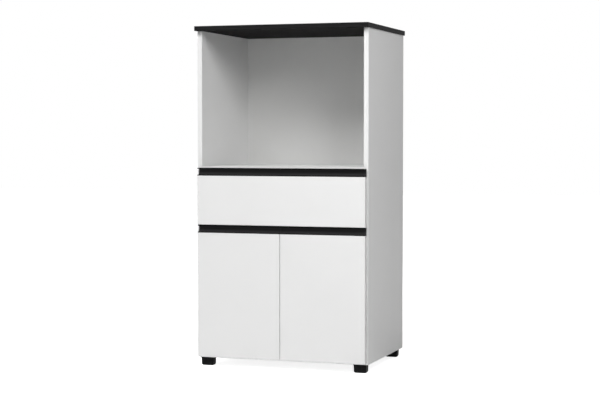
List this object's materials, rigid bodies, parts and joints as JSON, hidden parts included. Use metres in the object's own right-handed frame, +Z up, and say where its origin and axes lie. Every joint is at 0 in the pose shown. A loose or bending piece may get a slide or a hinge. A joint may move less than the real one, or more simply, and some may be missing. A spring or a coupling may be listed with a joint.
{
  "type": "kitchen base cabinet",
  "caption": "White kitchen cabinet with an open niche over a drawer and a pair of hinged doors, black top board, black grip profiles and black feet.",
  "frame": {"origin": "on the floor under the middle of the whole cabinet", "axes": "+Z up, +Y towards the back, +X to the right as seen from the front"},
  "size_m": [0.578, 0.4384, 1.0895],
  "materials": {
    "black_board": "black decor foil on particle board, satin",
    "white_board": "white melamine on particle board, fine satin texture",
    "back_sheet": "painted hardboard, matte",
    "black_plastic": "fine grained moulded plastic",
    "cover_plastic": "white moulded caps",
    "rail_paint": "powder coated sheet steel",
    "roller_nylon": "moulded nylon",
    "hinge_nickel": "nickel plated",
    "cam_zinc": "die cast zinc",
    "screw_steel": "zinc plated",
    "dowel_wood": "fluted beech, raw",
    "bumper_rubber": "soft clear polyurethane"
  },
  "bodies": {
    "cabinet": {"back_nails": "screw_steel", "back_panel_lower": "back_sheet", "back_panel_upper": "back_sheet", "bottom_panel": "white_board", "cam_bolts": "screw_steel", "cam_covers": "cover_plastic", "cam_locks": "cam_zinc", "divider_shelf": "white_board", "dowels": "dowel_wood", "foot_front_left": "black_plastic", "foot_front_right": "black_plastic", "foot_rear_left": "black_plastic", "foot_rear_right": "black_plastic", "foot_screws": "screw_steel", "hinge_arm_pins": "hinge_nickel", "hinge_arm_screws": "hinge_nickel", "hinge_arms": "hinge_nickel", "hinge_plate_screws": "hinge_nickel", "hinge_plates": "hinge_nickel", "inner_shelf": "white_board", "niche_shelf": "white_board", "shelf_supports": "screw_steel", "side_panel_left": "white_board", "side_panel_right": "white_board", "slide_rail_left": "rail_paint", "slide_rail_right": "rail_paint", "slide_rail_screws": "screw_steel", "top_panel": "black_board"},
    "inner_links_left": {"hinge_inner_links_left": "hinge_nickel"},
    "outer_links_left": {"hinge_outer_links_left": "hinge_nickel"},
    "door_left": {"door_left": "white_board", "door_handle_left": "black_plastic", "door_bumpers_left": "bumper_rubber", "hinge_cups_left": "hinge_nickel", "hinge_cup_pins_left": "hinge_nickel", "hinge_cup_screws_left": "hinge_nickel"},
    "front_roller_left": {"front_roller_left": "roller_nylon"},
    "rear_roller_left": {"rear_roller_left": "roller_nylon"},
    "inner_links_right": {"hinge_inner_links_right": "hinge_nickel"},
    "outer_links_right": {"hinge_outer_links_right": "hinge_nickel"},
    "door_right": {"door_right": "white_board", "door_handle_right": "black_plastic", "door_bumpers_right": "bumper_rubber", "hinge_cups_right": "hinge_nickel", "hinge_cup_pins_right": "hinge_nickel", "hinge_cup_screws_right": "hinge_nickel"},
    "front_roller_right": {"front_roller_right": "roller_nylon"},
    "rear_roller_right": {"rear_roller_right": "roller_nylon"},
    "drawer": {"drawer_back": "white_board", "drawer_back_screws": "screw_steel", "drawer_bottom": "back_sheet", "drawer_cam_bolts": "screw_steel", "drawer_cam_locks": "cam_zinc", "drawer_front": "white_board", "drawer_handle": "black_plastic", "drawer_runner_left": "rail_paint", "drawer_runner_right": "rail_paint", "drawer_runner_screws": "screw_steel", "drawer_side_left": "white_board", "drawer_side_right": "white_board"}
  },
  "joints": [
    {"name": "drawer_slide", "type": "slide", "parent": "cabinet", "child": "drawer", "axis": [0, -1, 0], "range_m": [0, 0.26]},
    {"name": "front_roller_spin_left", "type": "hinge", "parent": "cabinet", "child": "front_roller_left", "pos_m": [-0.2631, -0.18275, 0.4745], "axis": [1, 0, 0], "range_deg": [0, 1300]},
    {"name": "rear_roller_spin_left", "type": "hinge", "parent": "drawer", "child": "rear_roller_left", "pos_m": [-0.2631, 0.13325, 0.4745], "axis": [1, 0, 0], "range_deg": [0, 1300]},
    {"name": "inner_link_hinge_left", "type": "hinge", "parent": "cabinet", "child": "inner_links_left", "pos_m": [-0.244, -0.19695, 0.231], "axis": [0, 0, -1], "range_deg": [-25.9, 0]},
    {"name": "door_hinge_left", "type": "hinge", "parent": "inner_links_left", "child": "door_left", "pos_m": [-0.27, -0.20505, 0.231], "axis": [0, 0, -1], "range_deg": [0, 120.8]},
    {"name": "outer_link_hinge_left", "type": "hinge", "parent": "cabinet", "child": "outer_links_left", "pos_m": [-0.254, -0.20925, 0.231], "axis": [0, 0, -1], "range_deg": [-25.1, 0]},
    {"name": "front_roller_spin_right", "type": "hinge", "parent": "cabinet", "child": "front_roller_right", "pos_m": [0.2631, -0.18275, 0.4745], "axis": [1, 0, 0], "range_deg": [0, 1300]},
    {"name": "rear_roller_spin_right", "type": "hinge", "parent": "drawer", "child": "rear_roller_right", "pos_m": [0.2631, 0.13325, 0.4745], "axis": [1, 0, 0], "range_deg": [0, 1300]},
    {"name": "inner_link_hinge_right", "type": "hinge", "parent": "cabinet", "child": "inner_links_right", "pos_m": [0.244, -0.19695, 0.231], "axis": [0, 0, 1], "range_deg": [-25.9, 0]},
    {"name": "door_hinge_right", "type": "hinge", "parent": "inner_links_right", "child": "door_right", "pos_m": [0.27, -0.20505, 0.231], "axis": [0, 0, 1], "range_deg": [0, 120.8]},
    {"name": "outer_link_hinge_right", "type": "hinge", "parent": "cabinet", "child": "outer_links_right", "pos_m": [0.254, -0.20925, 0.231], "axis": [0, 0, 1], "range_deg": [-25.1, 0]}
  ],
  "couplings": [
    {"joint": "front_roller_spin_left", "follows": "drawer_slide", "rad_per_m": 86.957},
    {"joint": "rear_roller_spin_left", "follows": "drawer_slide", "rad_per_m": 86.957},
    {"joint": "inner_link_hinge_left", "follows": "door_hinge_left", "ratio": -0.21358},
    {"joint": "outer_link_hinge_left", "follows": "door_hinge_left", "ratio": -0.20695},
    {"joint": "front_roller_spin_right", "follows": "drawer_slide", "rad_per_m": 86.957},
    {"joint": "rear_roller_spin_right", "follows": "drawer_slide", "rad_per_m": 86.957},
    {"joint": "inner_link_hinge_right", "follows": "door_hinge_right", "ratio": -0.21358},
    {"joint": "outer_link_hinge_right", "follows": "door_hinge_right", "ratio": -0.20695}
  ]
}
